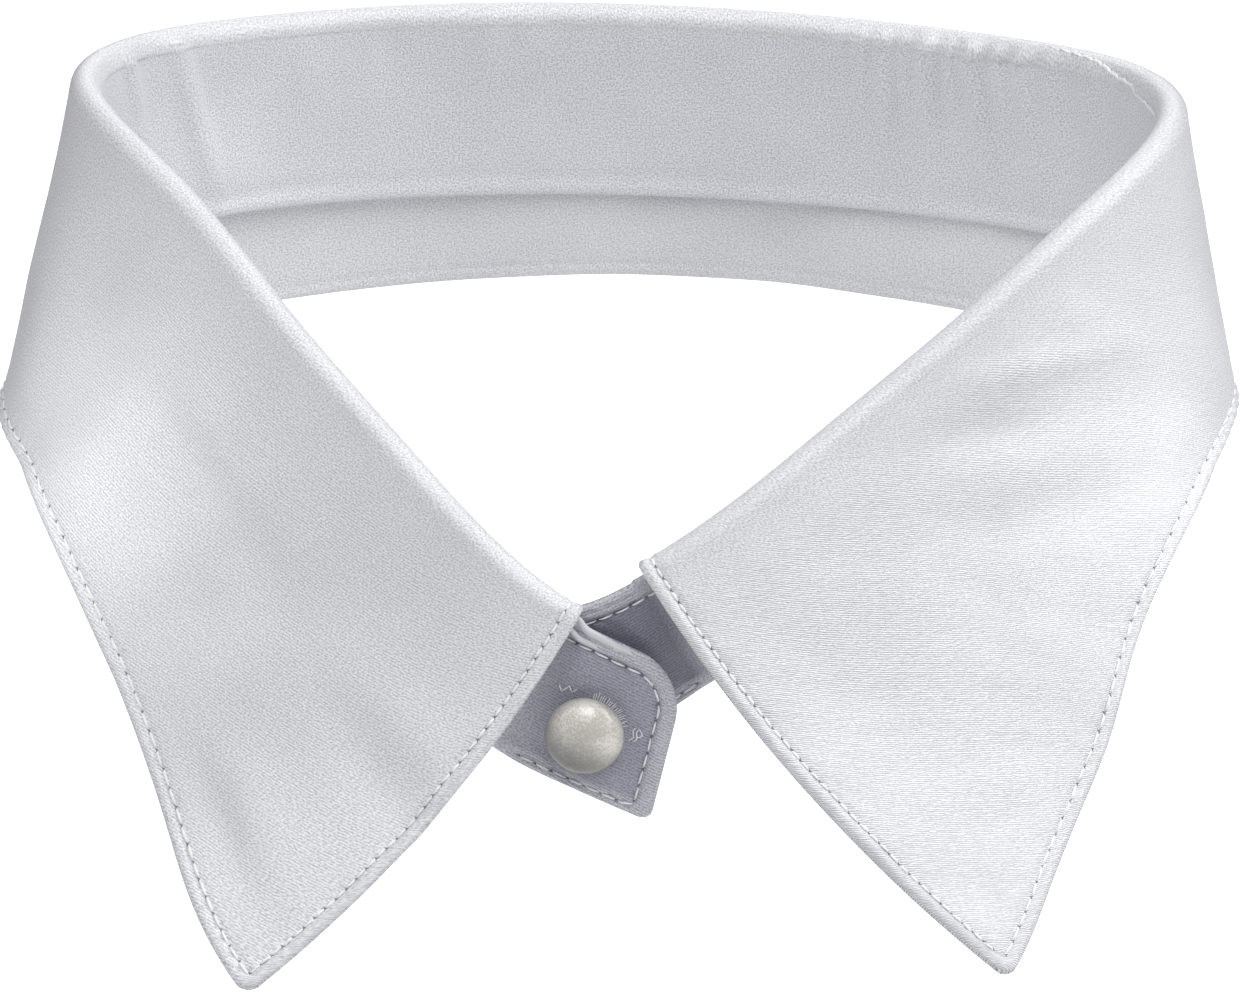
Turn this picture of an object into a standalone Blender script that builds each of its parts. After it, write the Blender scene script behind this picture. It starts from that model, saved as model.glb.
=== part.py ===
"""Detachable shirt collar, buttoned and turned down as it sits round a neck.

A stand band of doubled cloth runs round the neck and ends in two tabs that
overlap in front. A collar leaf is sewn to the stand's top edge, rolls over
it and falls outside it to two points. A pearl dome button on the under tab
comes through the over tab's buttonhole.

Metres, +Z up. The front faces -Y and the wearer's right is at -X. The origin
is on the neck's axis, level with the stand's lower edge at the centre back.
"""

import bpy
import math
from mathutils import Matrix, Vector

MM = 0.001

# Cloth
WALL = 1.2
SEAM_GAP = 0.3
ROLL_RADIUS = 1.5
LEAF_TIP_RADIUS = 2.6
TAB_TOP_RADIUS = 6.5
TAB_FOOT_RADIUS = 1.6

# Closure
BUTTON_DIAMETER = 10.2
BUTTON_DOME = 4.4
BUTTON_EDGE = 1.1
BUTTON_SEAT = 0.45
SHANK_GAP = 0.45
SHANK_DIAMETER = 1.6
BUTTON_FROM_TAB_END = 10.5
BUTTON_BELOW_TOP = 12.6
HOLE_LENGTH = 11.6
HOLE_WIDTH = 2.4

# How finely the cloth is divided
COLUMN_PITCH = 4.8
STAND_ROWS = 5
ROLL_ROWS = 6
FALL_ROWS = 10
CORNER_COLUMNS = 4

# The stand's top edge, a row for each section from the over tab's end round
# the back of the neck to the under tab's end. x, y and z are in millimetres,
# lean is how far the stand turns outward from the neckline's own downward
# direction, in degrees, height is its depth of cloth, and slant is how far
# its end is cut off square.
NECK_COLUMNS = ("x", "y", "z", "lean", "height", "slant")
NECK = {
    "over_tab_end":   (8.6, -54.0, -32.6, 0.0, 20.2, -14.0),
    "over_tab":       (0.6, -54.0, -28.6, 0.0, 20.8, -10.0),
    "left_leaf_end":  (-5.3, -53.2, -25.8, 1.0, 21.2, -5.0),
    "left_front":     (-17.0, -48.5, -17.8, 3.0, 21.8, 0.0),
    "left_chest":     (-28.0, -42.0, -7.6, 5.0, 22.5, 0.0),
    "left_throat":    (-43.0, -31.5, 6.8, 7.0, 23.5, 0.0),
    "left_neck":      (-55.0, -20.0, 18.4, 8.0, 24.5, 0.0),
    "left_side":      (-69.4, 4.0, 27.0, 8.0, 25.5, 0.0),
    "left_back":      (-50.5, 35.5, 25.8, 8.0, 26.0, 0.0),
    "centre_back":    (0.0, 46.5, 24.7, 8.0, 26.0, 0.0),
    "right_back":     (52.2, 36.4, 22.8, 8.0, 25.5, 0.0),
    "right_side":     (71.8, 3.0, 23.4, 8.0, 25.0, 0.0),
    "right_neck":     (58.5, -20.0, 15.7, 7.0, 24.0, 0.0),
    "right_throat":   (42.5, -31.5, 4.6, 5.0, 23.0, 0.0),
    "right_chest":    (27.0, -41.0, -5.4, 2.0, 21.5, 0.0),
    "right_front":    (14.0, -48.0, -13.9, -3.0, 20.0, 0.0),
    "right_leaf_end": (3.0, -51.3, -20.4, -7.0, 18.5, 0.0),
    "under_tab":      (-4.0, -51.5, -23.9, -8.0, 18.5, 0.0),
    "under_tab_end":  (-12.0, -48.3, -26.4, -8.0, 18.5, 0.0),
}

# The collar leaf at the same sections. fall is its depth from roll to hem in
# millimetres. flare is the angle at which it leaves the roll and spread the
# angle that it reaches at the hem. skew is how far the line from roll to hem
# leans along the neckline, and bow how much that line curves on its way.
LEAF_COLUMNS = ("fall", "flare", "spread", "skew", "bow")
LEAF = {
    "left_leaf_end":  (62.8, 22.0, 34.6, 12.1, 10.4),
    "left_front":     (54.2, 21.2, 29.3, 5.7, 5.0),
    "left_chest":     (48.5, 20.1, 24.1, 2.6, 2.0),
    "left_throat":    (44.6, 18.2, 18.5, 0.4, 0.0),
    "left_neck":      (44.6, 16.5, 14.5, 0.0, 0.0),
    "left_side":      (44.0, 13.6, 11.0, 0.0, 0.0),
    "left_back":      (42.8, 9.0, 7.6, 0.0, 0.0),
    "centre_back":    (39.6, 6.0, 6.0, 0.0, 0.0),
    "right_back":     (40.6, 7.4, 4.0, 0.0, 0.0),
    "right_side":     (39.8, 12.4, 5.2, 0.0, 0.0),
    "right_neck":     (39.7, 16.6, 9.2, 0.0, 0.0),
    "right_throat":   (43.8, 20.1, 15.3, -2.0, 0.0),
    "right_chest":    (52.6, 24.2, 24.0, -5.7, -2.0),
    "right_front":    (59.8, 26.1, 31.2, -7.0, -5.0),
    "right_leaf_end": (68.4, 27.4, 38.1, -12.2, -10.0),
}

# The leaf's largest soft folds, which run from the roll toward the hem. at is
# the section where a fold starts, past how far along the neckline it starts
# after that section, drift how far it has moved on at the hem, width its half
# width, and lift how far it stands out, all in millimetres.
FOLD_COLUMNS = ("at", "past", "drift", "width", "lift")
FOLDS = (
    ("left_leaf_end", 14.0, 5.0, 10.0, -0.7),
    ("left_chest", 6.0, 4.0, 9.0, 0.6),
    ("left_neck", 4.0, -3.0, 9.0, -0.5),
    ("left_side", 14.0, 4.0, 11.0, 0.6),
    ("centre_back", -8.0, -3.0, 13.0, -0.5),
    ("centre_back", 21.0, 3.0, 8.0, 0.7),
    ("right_back", -6.0, 4.0, 9.0, -0.7),
    ("right_side", 4.0, -4.0, 11.0, 0.6),
    ("right_neck", 12.0, 3.0, 9.0, -0.6),
    ("right_chest", 0.0, -4.0, 10.0, 0.6),
    ("right_front", 8.0, -3.0, 9.0, -0.5),
)

CLOTH_COLOUR = (0.80, 0.80, 0.84, 1.0)
LEAF_COLOUR = (0.86, 0.86, 0.89, 1.0)
PEARL_COLOUR = (0.72, 0.71, 0.68, 1.0)


def natural_spline(places, values):
    """A smooth curve through one value at each place along the neckline."""
    count = len(places)
    gap = [places[i + 1] - places[i] for i in range(count - 1)]
    lower = [0.0] * count
    pull = [0.0] * count
    for i in range(1, count - 1):
        change = (values[i + 1] - values[i]) / gap[i] - (values[i] - values[i - 1]) / gap[i - 1]
        pivot = 2.0 * (gap[i - 1] + gap[i]) - gap[i - 1] * lower[i - 1]
        lower[i] = gap[i] / pivot
        pull[i] = (6.0 * change - gap[i - 1] * pull[i - 1]) / pivot
    bend = [0.0] * count
    for i in range(count - 2, 0, -1):
        bend[i] = pull[i] - lower[i] * bend[i + 1]

    def value(at):
        i = 0
        while i < count - 2 and at > places[i + 1]:
            i += 1
        ahead = places[i + 1] - at
        behind = at - places[i]
        width = gap[i]
        curved = (bend[i] * ahead ** 3 + bend[i + 1] * behind ** 3) / (6.0 * width)
        start = (values[i] / width - bend[i] * width / 6.0) * ahead
        end = (values[i + 1] / width - bend[i + 1] * width / 6.0) * behind
        return curved + start + end

    return value


def neckline_places():
    """How far along the neckline each section lies, in millimetres."""
    places = {}
    travelled = 0.0
    last = None
    for name, row in NECK.items():
        point = Vector(row[:3])
        if last is not None:
            travelled += (point - last).length
        places[name] = travelled
        last = point
    return places


PLACE = neckline_places()
TAB_END = PLACE["over_tab_end"]
LEFT_END = PLACE["left_leaf_end"]
RIGHT_END = PLACE["right_leaf_end"]
BAND_END = PLACE["under_tab_end"]


def column_curves(table, columns):
    """A smooth curve along the neckline for every column of a table."""
    places = [PLACE[name] for name in table]
    curves = {}
    for index, column in enumerate(columns):
        curves[column] = natural_spline(places, [row[index] for row in table.values()])
    return curves


BAND = column_curves(NECK, NECK_COLUMNS)
FALLING = column_curves(LEAF, LEAF_COLUMNS)


def neckline(at):
    return Vector((BAND["x"](at), BAND["y"](at), BAND["z"](at)))


def section(at):
    """The neckline's point, and unit vectors along it, down the neck and outward."""
    step = 0.2
    ahead = neckline(min(at + step, BAND_END))
    behind = neckline(max(at - step, 0.0))
    along = (ahead - behind).normalized()
    down = Vector((0.0, 0.0, -1.0))
    down = (down - down.dot(along) * along).normalized()
    out = along.cross(down)
    return neckline(at), along, down, out


def turned(down, out, degrees):
    angle = math.radians(degrees)
    return math.cos(angle) * down + math.sin(angle) * out


def stand_point(at, depth):
    """A point of the stand's middle surface, depth below its top edge."""
    top, along, down, out = section(at)
    slant = math.tan(math.radians(BAND["slant"](at)))
    return top + depth * (turned(down, out, BAND["lean"](at)) + slant * along)


def stand_normal(at):
    top, along, down, out = section(at)
    return turned(down, out, BAND["lean"](at) + 90.0)


def fold_lift(at, share):
    """How far the soft folds push the leaf outward at a share of its fall."""
    lift = 0.0
    for name, past, drift, width, height in FOLDS:
        middle = PLACE[name] + past + drift * share
        lift += height * math.exp(-((at - middle) / width) ** 2)
    grown = share * share * (3.0 - 2.0 * share)
    return lift * grown


def roll_point(at, share):
    """A point of the roll, from the seam over the top to the start of the fall."""
    top, along, down, out = section(at)
    lean = BAND["lean"](at)
    wall = turned(down, out, lean)
    face = turned(down, out, lean + 90.0)
    turn = math.radians(180.0 + lean - FALLING["flare"](at)) * share
    edge_drop = WALL / 2.0 * math.sin(math.pi / ROLL_ROWS / 2.0)
    centre = top - wall * (SEAM_GAP + edge_drop) + face * ROLL_RADIUS
    return centre - face * ROLL_RADIUS * math.cos(turn) - wall * ROLL_RADIUS * math.sin(turn)


def fall_point(at, share, cut):
    """A point of the fall, whose hem is drawn up by cut where a tip is rounded."""
    top, along, down, out = section(at)
    flare = FALLING["flare"](at)
    spread = FALLING["spread"](at)
    skew = math.radians(FALLING["skew"](at) + FALLING["bow"](at) * (share - 1.0))
    angle = flare + (spread - flare) * share / 2.0
    reach = (FALLING["fall"](at) - cut) * share
    heading = math.cos(skew) * turned(down, out, angle) + math.sin(skew) * along
    outward = turned(down, out, angle + 90.0)
    return roll_point(at, 1.0) + reach * heading + fold_lift(at, share) * outward


def corner_cut(from_end, radius):
    """How much a rounded corner takes off at a distance from the end."""
    if from_end >= radius:
        return 0.0
    return radius - math.sqrt(radius ** 2 - (radius - from_end) ** 2)


def even_places(start, end):
    """Places of the grid's columns at an even pitch."""
    count = max(1, round((end - start) / COLUMN_PITCH))
    return [start + (end - start) * step / count for step in range(count + 1)]


def corner_places(end, inward, radius):
    """Places that crowd toward an end where its corner is rounded."""
    places = []
    for step in range(CORNER_COLUMNS):
        places.append(end + inward * radius * (1.0 - math.cos(math.pi / 2.0 * step / CORNER_COLUMNS)))
    return places


def leaf_places():
    left = corner_places(LEFT_END, 1.0, LEAF_TIP_RADIUS)
    middle = even_places(LEFT_END + LEAF_TIP_RADIUS, RIGHT_END - LEAF_TIP_RADIUS)
    right = corner_places(RIGHT_END, -1.0, LEAF_TIP_RADIUS)
    return left + middle + right[::-1]


def stand_places():
    """The leaf's own places where the two are sewn, and more along the tabs."""
    over_tab = corner_places(TAB_END, 1.0, TAB_TOP_RADIUS)
    over_tab += even_places(TAB_END + TAB_TOP_RADIUS, LEFT_END)[:-1]
    under_tab = even_places(RIGHT_END, BAND_END - TAB_TOP_RADIUS)[1:]
    under_tab += corner_places(BAND_END, -1.0, TAB_TOP_RADIUS)[::-1]
    return over_tab + leaf_places() + under_tab


def stand_columns():
    """The stand's grid, with each tab end rounded more at its top corner."""
    columns = []
    for at in stand_places():
        from_end = min(at - TAB_END, BAND_END - at)
        high = corner_cut(from_end, TAB_TOP_RADIUS)
        low = BAND["height"](at) - corner_cut(from_end, TAB_FOOT_RADIUS)
        column = []
        for row in range(STAND_ROWS + 1):
            column.append(stand_point(at, high + (low - high) * row / STAND_ROWS))
        columns.append(column)
    return columns


def leaf_columns():
    """The leaf's grid, over the roll and down the fall, with rounded tips."""
    columns = []
    for at in leaf_places():
        cut = corner_cut(min(at - LEFT_END, RIGHT_END - at), LEAF_TIP_RADIUS)
        column = []
        for row in range(ROLL_ROWS):
            column.append(roll_point(at, row / ROLL_ROWS))
        for row in range(FALL_ROWS + 1):
            column.append(fall_point(at, row / FALL_ROWS, cut))
        columns.append(column)
    return columns


def make_material(name, colour, roughness):
    material = bpy.data.materials.new(name)
    material.use_nodes = True
    shader = material.node_tree.nodes["Principled BSDF"]
    shader.inputs["Base Color"].default_value = colour
    shader.inputs["Roughness"].default_value = roughness
    shader.inputs["Metallic"].default_value = 0.0
    return material


def finish_object(piece, material, collection, parent):
    piece.data.materials.append(material)
    piece.parent = parent
    for other in list(piece.users_collection):
        other.objects.unlink(piece)
    collection.objects.link(piece)


def make_cloth(name, columns, material, collection, parent):
    """A cloth wall of even thickness on a grid of points."""
    rows = len(columns[0])
    points = [point * MM for column in columns for point in column]
    faces = []
    for i in range(len(columns) - 1):
        for j in range(rows - 1):
            here = i * rows + j
            faces.append((here, here + 1, here + rows + 1, here + rows))
    mesh = bpy.data.meshes.new(name)
    mesh.from_pydata(points, [], faces)
    mesh.shade_smooth()
    piece = bpy.data.objects.new(name, mesh)
    wall = piece.modifiers.new("wall", "SOLIDIFY")
    wall.thickness = WALL * MM
    wall.offset = 0.0
    wall.use_even_offset = True
    finish_object(piece, material, collection, parent)
    return piece


def closure_frame():
    """Where the button is sewn, and the directions along, down and out of the tab."""
    at = TAB_END + BUTTON_FROM_TAB_END
    place = stand_point(at, BUTTON_BELOW_TOP)
    out = stand_normal(at)
    along = section(at)[1]
    along = (along - along.dot(out) * out).normalized()
    down = out.cross(along)
    turn = Matrix((along, down, out)).transposed().to_4x4()
    return place, turn


def distance_to_under_tab(place, out):
    """How far behind the over tab's middle surface the under tab's lies."""
    best = None
    for i in range(60):
        at = RIGHT_END + (BAND_END - RIGHT_END) * i / 59
        for j in range(40):
            point = stand_point(at, BAND["height"](at) * j / 39)
            behind = place - point
            depth = behind.dot(out)
            aside = (behind - depth * out).length
            if best is None or aside < best[0]:
                best = (aside, depth)
    return best[1]


def make_button(place, turn, material, collection, parent):
    """A turned dome with a flat seat and a shank that reaches to the under tab."""
    out = turn.to_3x3().col[2]
    seat = WALL / 2.0 + BUTTON_SEAT
    foot = WALL / 2.0 + SHANK_GAP - distance_to_under_tab(place, out)
    radius = BUTTON_DIAMETER / 2.0
    crown = BUTTON_DOME - BUTTON_EDGE
    outline = []
    for step in range(9):
        angle = math.pi / 2.0 * step / 8
        outline.append((radius * math.sin(angle), seat + BUTTON_EDGE + crown * math.cos(angle)))
    for step in range(1, 4):
        angle = math.pi / 2.0 * step / 3
        inset = BUTTON_EDGE * (1.0 - math.cos(angle))
        outline.append((radius - inset, seat + BUTTON_EDGE * (1.0 - math.sin(angle))))
    outline.append((SHANK_DIAMETER / 2.0, seat))
    outline.append((SHANK_DIAMETER / 2.0, foot))
    outline.append((0.0, foot))
    points = [(across * MM, 0.0, height * MM) for across, height in outline]
    edges = [(i, i + 1) for i in range(len(points) - 1)]
    mesh = bpy.data.meshes.new("button")
    mesh.from_pydata(points, edges, [])
    piece = bpy.data.objects.new("button", mesh)
    spin = piece.modifiers.new("turned", "SCREW")
    spin.steps = 32
    spin.render_steps = 32
    spin.use_merge_vertices = True
    spin.merge_threshold = 0.00001
    spin.use_smooth_shade = True
    piece.matrix_world = Matrix.Translation(place * MM) @ turn
    finish_object(piece, material, collection, parent)
    return piece


def cut_buttonhole(stand, place, turn, collection, parent):
    """An opening along the over tab, held open round the shank."""
    bpy.ops.mesh.primitive_cylinder_add(vertices=24, radius=1.0, depth=1.0)
    cutter = bpy.context.object
    cutter.name = "buttonhole_cutter"
    size = Vector((HOLE_LENGTH / 2.0, HOLE_WIDTH / 2.0, WALL * 3.0)) * MM
    cutter.data.transform(Matrix.Diagonal(size).to_4x4())
    cutter.matrix_world = Matrix.Translation(place * MM) @ turn
    cutter.parent = parent
    for other in list(cutter.users_collection):
        other.objects.unlink(cutter)
    collection.objects.link(cutter)
    cutter.hide_render = True
    cutter.display_type = "WIRE"
    hole = stand.modifiers.new("buttonhole", "BOOLEAN")
    hole.operation = "DIFFERENCE"
    hole.solver = "EXACT"
    hole.object = cutter


def build():
    for leftover in list(bpy.data.objects):
        bpy.data.objects.remove(leftover, do_unlink=True)
    collection = bpy.data.collections.new("detachable_collar")
    bpy.context.scene.collection.children.link(collection)
    cutters = bpy.data.collections.new("cutters")
    bpy.context.scene.collection.children.link(cutters)
    neck = bpy.data.objects.new("neck_axis", None)
    collection.objects.link(neck)

    stand_cloth = make_material("stand_cloth", CLOTH_COLOUR, 0.6)
    leaf_cloth = make_material("leaf_cloth", LEAF_COLOUR, 0.55)
    pearl = make_material("pearl", PEARL_COLOUR, 0.2)

    stand = make_cloth("collar_stand", stand_columns(), stand_cloth, collection, neck)
    make_cloth("collar_leaf", leaf_columns(), leaf_cloth, collection, neck)
    place, turn = closure_frame()
    make_button(place, turn, pearl, collection, neck)
    cut_buttonhole(stand, place, turn, cutters, neck)


build()
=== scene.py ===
"""The looks of a detachable shirt collar: white satin-faced cotton, topstitched, with a pearl button."""

import bmesh
import bpy
import math
import numpy as np
from mathutils import Matrix, Vector


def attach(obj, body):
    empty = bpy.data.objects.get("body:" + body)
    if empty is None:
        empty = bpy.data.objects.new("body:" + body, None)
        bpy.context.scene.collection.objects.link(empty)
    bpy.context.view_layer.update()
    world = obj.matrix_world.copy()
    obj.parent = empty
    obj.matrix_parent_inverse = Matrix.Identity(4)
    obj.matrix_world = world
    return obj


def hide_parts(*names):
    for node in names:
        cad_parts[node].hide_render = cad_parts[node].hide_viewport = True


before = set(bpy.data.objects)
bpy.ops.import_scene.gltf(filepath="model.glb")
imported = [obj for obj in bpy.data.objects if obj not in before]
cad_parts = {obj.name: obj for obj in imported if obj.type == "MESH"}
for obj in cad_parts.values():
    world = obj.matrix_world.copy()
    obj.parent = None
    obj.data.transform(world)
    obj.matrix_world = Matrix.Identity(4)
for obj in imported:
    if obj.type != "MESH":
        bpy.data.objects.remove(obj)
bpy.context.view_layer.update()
scene = bpy.context.scene

MM = 0.001

# The collar's sizes, in millimetres and degrees, as its solids have them.
WALL = 1.2
SEAM_GAP = 0.45
SEAM_LAP = 0.6
ROLL_RADIUS = 1.5
LEAF_TIP_RADIUS = 2.6
TAB_TOP_RADIUS = 6.5
TAB_FOOT_RADIUS = 1.6
BUTTON_DIAMETER = 10.2
BUTTON_SIDES = 72
BUTTON_DOME = 4.4
BUTTON_RIM = 1.5
BUTTON_UNDERCUT = 1.6
BUTTON_SEAT = 0.45
SHANK_RADIUS = 0.8
SHANK_FOOT = -2.0
BUTTON_FROM_TAB_END = 10.5
BUTTON_BELOW_TOP = 12.6

NECK_COLUMNS = ("x", "y", "z", "lean", "height", "slant")
NECK = {
    "over_tab_end":   (8.6, -54.0, -32.6, 0.0, 20.2, -14.0),
    "over_tab":       (0.6, -54.0, -28.6, 0.0, 20.8, -10.0),
    "left_leaf_end":  (-5.3, -53.2, -25.8, 1.0, 21.2, -5.0),
    "left_front":     (-17.0, -48.5, -17.8, 3.0, 21.8, 0.0),
    "left_chest":     (-28.0, -42.0, -7.6, 5.0, 22.5, 0.0),
    "left_throat":    (-43.0, -31.5, 6.8, 7.0, 23.5, 0.0),
    "left_neck":      (-55.0, -20.0, 18.4, 8.0, 24.5, 0.0),
    "left_side":      (-69.4, 4.0, 27.0, 8.0, 25.5, 0.0),
    "left_back":      (-50.5, 35.5, 25.8, 8.0, 26.0, 0.0),
    "centre_back":    (0.0, 46.5, 24.7, 8.0, 26.0, 0.0),
    "right_back":     (52.2, 36.4, 22.8, 8.0, 25.5, 0.0),
    "right_side":     (71.8, 3.0, 23.4, 8.0, 25.0, 0.0),
    "right_neck":     (58.5, -20.0, 15.7, 7.0, 24.0, 0.0),
    "right_throat":   (42.5, -31.5, 4.6, 5.0, 23.0, 0.0),
    "right_chest":    (27.0, -41.0, -5.4, 2.0, 21.5, 0.0),
    "right_front":    (14.0, -48.0, -13.9, -3.0, 20.0, 0.0),
    "right_leaf_end": (3.0, -51.3, -20.4, -7.0, 18.5, 0.0),
    "under_tab":      (-4.0, -51.5, -23.9, -8.0, 18.5, 0.0),
    "under_tab_end":  (-12.0, -48.3, -26.4, -8.0, 18.5, 0.0),
}
LEAF_COLUMNS = ("fall", "flare", "spread", "skew", "bow", "hollow")
LEAF = {
    "left_leaf_end":  (62.8, 22.0, 34.6, 12.1, 10.4, 0.3),
    "left_front":     (54.2, 21.2, 29.3, 5.7, 5.0, 0.9),
    "left_chest":     (48.5, 20.1, 24.1, 2.6, 2.0, 1.5),
    "left_throat":    (44.6, 18.2, 18.5, 0.4, 0.0, 1.9),
    "left_neck":      (44.6, 16.5, 14.5, 0.0, 0.0, 1.6),
    "left_side":      (44.0, 13.6, 11.0, 0.0, 0.0, 0.3),
    "left_back":      (42.8, 9.0, 7.6, 0.0, 0.0, 0.2),
    "centre_back":    (39.6, 6.0, 6.0, 0.0, 0.0, 0.0),
    "right_back":     (40.6, 7.4, 4.0, 0.0, 0.0, 0.2),
    "right_side":     (39.8, 12.4, 5.2, 0.0, 0.0, 0.3),
    "right_neck":     (39.7, 16.6, 9.2, 0.0, 0.0, 1.5),
    "right_throat":   (43.8, 20.1, 15.3, -2.0, 0.0, 1.8),
    "right_chest":    (52.6, 24.2, 24.0, -5.7, -2.0, 1.5),
    "right_front":    (59.8, 26.1, 31.2, -7.0, -5.0, 0.9),
    "right_leaf_end": (68.4, 27.4, 38.1, -12.2, -10.0, 0.3),
}
# The leaf's largest soft folds: section, start past it, drift, half width, lift.
FOLDS = (
    ("left_leaf_end", 14.0, 5.0, 10.0, -0.7), ("left_chest", 6.0, 4.0, 9.0, 0.6),
    ("left_neck", 4.0, -3.0, 9.0, -0.5), ("left_side", 14.0, 4.0, 11.0, 0.6),
    ("centre_back", -8.0, -3.0, 13.0, -0.5), ("centre_back", 21.0, 3.0, 8.0, 0.7),
    ("right_back", -6.0, 4.0, 9.0, -0.7), ("right_side", 4.0, -4.0, 11.0, 0.6),
    ("right_neck", 12.0, 3.0, 9.0, -0.6), ("right_chest", 0.0, -4.0, 10.0, 0.6),
    ("right_front", 8.0, -3.0, 9.0, -0.5),
)

# Finer creases of the leaf by section: start past it, share of the fall where it is highest, length
# as a share, turn along the neckline, half width and lift.
LEAF_CREASES = {
    "left_leaf_end": ((6.0, 0.42, 0.12, 0.0, 9.0, 0.60), (5.0, 0.50, 0.12, -6.0, 8.0, -1.15)),
    "left_front": (
        (-3.0, 0.79, 0.11, -6.0, 8.0, 0.55), (-4.0, 0.87, 0.10, -6.0, 7.0, -0.95),
        (8.0, 0.60, 0.35, 10.0, 4.5, 0.40),
    ),
    "left_throat": (
        (-9.0, 0.38, 0.13, -10.0, 14.0, 0.60), (-8.0, 0.48, 0.13, -10.0, 15.0, -1.30),
        (-2.0, 0.35, 0.30, 12.0, 4.0, 0.35), (8.0, 0.60, 0.35, -10.0, 5.0, 0.45),
        (5.0, 0.58, 0.32, 0.0, 10.0, -1.10),
    ),
    "left_chest": ((4.0, 0.50, 0.35, 16.0, 6.0, -0.60), (-2.0, 0.55, 0.50, 30.0, 5.5, -0.65)),
    "left_neck": ((8.0, 0.30, 0.35, 12.0, 6.0, -0.60), (15.0, 0.70, 0.30, -8.0, 6.0, 0.50)),
    "left_side": ((2.0, 0.60, 0.35, -6.0, 6.0, 0.45),),
    "left_back": ((6.0, 0.50, 0.40, 6.0, 5.0, -0.30), (26.0, 0.70, 0.30, -5.0, 6.0, 0.35)),
    "centre_back": (
        (6.0, 0.55, 0.40, 5.0, 5.0, 0.35), (24.0, 0.80, 0.20, 5.0, 4.0, 0.50),
        (34.0, 0.78, 0.22, 8.0, 4.0, -0.60), (44.0, 0.80, 0.22, 6.0, 4.5, 0.50),
    ),
    "right_back": ((8.0, 0.60, 0.35, -8.0, 5.0, 0.40),),
    "right_side": ((-8.0, 0.45, 0.40, 6.0, 5.0, -0.40), (12.0, 0.65, 0.35, -8.0, 5.0, 0.45)),
    "right_neck": ((6.0, 0.30, 0.30, -14.0, 4.0, 0.50), (8.0, 0.60, 0.32, 0.0, 10.0, -1.00)),
    "right_throat": (
        (-4.0, 0.20, 0.30, -68.0, 3.4, 1.10), (4.0, 0.27, 0.28, -62.0, 4.4, -1.05),
        (3.0, 0.58, 0.45, -57.0, 6.0, -0.95),
    ),
    "right_chest": ((6.0, 0.60, 0.35, -12.0, 5.0, 0.45), (-6.0, 0.65, 0.30, -16.0, 5.0, -0.45)),
    "right_front": ((2.0, 0.45, 0.40, -8.0, 4.5, -0.45), (12.0, 0.60, 0.35, -8.0, 5.0, 0.40)),
}

# Puckers of the stand's inner face by section: past it, share of the height where it is highest,
# length as a share, turn, half width and lift inward.
STAND_CREASES = {
    "left_side": ((15.5, 0.10, 0.40, 13.0, 1.3, 0.9), (20.0, 0.25, 0.45, 8.0, 3.0, -0.5)),
    "left_back": (
        (-8.6, 0.35, 0.85, 10.5, 1.7, 1.2), (-2.0, 0.75, 0.35, 6.0, 4.5, 0.7),
        (8.0, 0.15, 0.35, 1.0, 2.2, 0.35), (20.0, 0.10, 0.30, -1.0, 1.8, -0.35),
        (34.0, 0.10, 0.35, -1.0, 1.6, 0.35),
    ),
    "centre_back": (
        (-12.0, 0.08, 0.25, 1.0, 2.0, 0.40), (2.0, 0.08, 0.30, 1.0, 1.6, 0.40),
        (13.0, 0.12, 0.30, -1.0, 2.0, 0.35),
    ),
    "right_back": (
        (-24.0, 0.12, 0.35, 1.0, 1.5, 0.60), (-20.0, 0.12, 0.45, 1.0, 1.4, 0.84),
        (-16.8, 0.14, 0.60, 1.5, 1.2, 1.13), (-13.8, 0.12, 0.40, 1.0, 1.2, 0.76),
        (-10.4, 0.14, 0.75, 1.5, 1.4, 1.36), (-7.0, 0.14, 0.45, 1.0, 1.1, 0.91),
        (-3.4, 0.18, 0.95, 2.5, 1.5, 1.43), (0.4, 0.16, 0.55, 1.0, 1.2, 0.99),
        (4.2, 0.18, 0.80, 2.0, 1.5, 1.13), (8.6, 0.18, 0.45, 1.0, 1.4, 0.76),
        (15.0, 0.20, 0.35, 1.0, 2.0, 0.60),
    ),
    "right_chest": ((4.0, 0.30, 0.50, 2.0, 2.5, 0.35),),
    "left_front": ((-4.0, 0.40, 0.50, -3.0, 2.5, 0.35),),
    "over_tab": (
        (-1.0, 0.80, 0.22, 2.0, 2.4, -0.60), (-4.5, 0.60, 0.25, -3.0, 1.6, 0.40),
        (-3.0, 0.25, 0.25, 3.0, 1.8, -0.40), (3.5, 0.30, 0.20, 3.0, 2.0, -0.45),
        (5.0, 0.85, 0.20, -3.0, 1.8, 0.40),
    ),
    "right_leaf_end": (
        (3.5, 0.45, 0.35, -5.0, 1.4, -0.55), (6.5, 0.60, 0.40, -5.0, 1.4, 0.50),
        (0.0, 0.55, 0.40, -4.0, 1.5, -0.45),
    ),
}

# The seam's fine ridge, where it shows near the right end of the photo: section, past it,
# and how far round the roll it lies. Below 0 it is on the stand, in millimetres.
SEAM_RIDGE = (
    ("right_back", 7.0, 0.42), ("right_back", 12.0, 0.35), ("right_back", 18.0, 0.24),
    ("right_side", -17.0, 0.10), ("right_side", -12.5, 0.0), ("right_side", -8.0, -0.5),
    ("right_side", -3.0, -0.7),
)

# The slope of the twill's lines to the roll, at the left point and at the right one.
LEFT_TWILL_SLOPE = 0.4
RIGHT_TWILL_SLOPE = -1.07

# How high a crease is at its ends: the spread of its length, as a share of the length.
CREASE_TAPER = 0.6

# Fine unevenness of the cloth: height, pitch and seed.
LEAF_UNEVEN = ((0.09, 26.0, 3), (0.022, 8.0, 5))
STAND_UNEVEN = ((0.07, 16.0, 11), (0.03, 6.0, 13))

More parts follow.
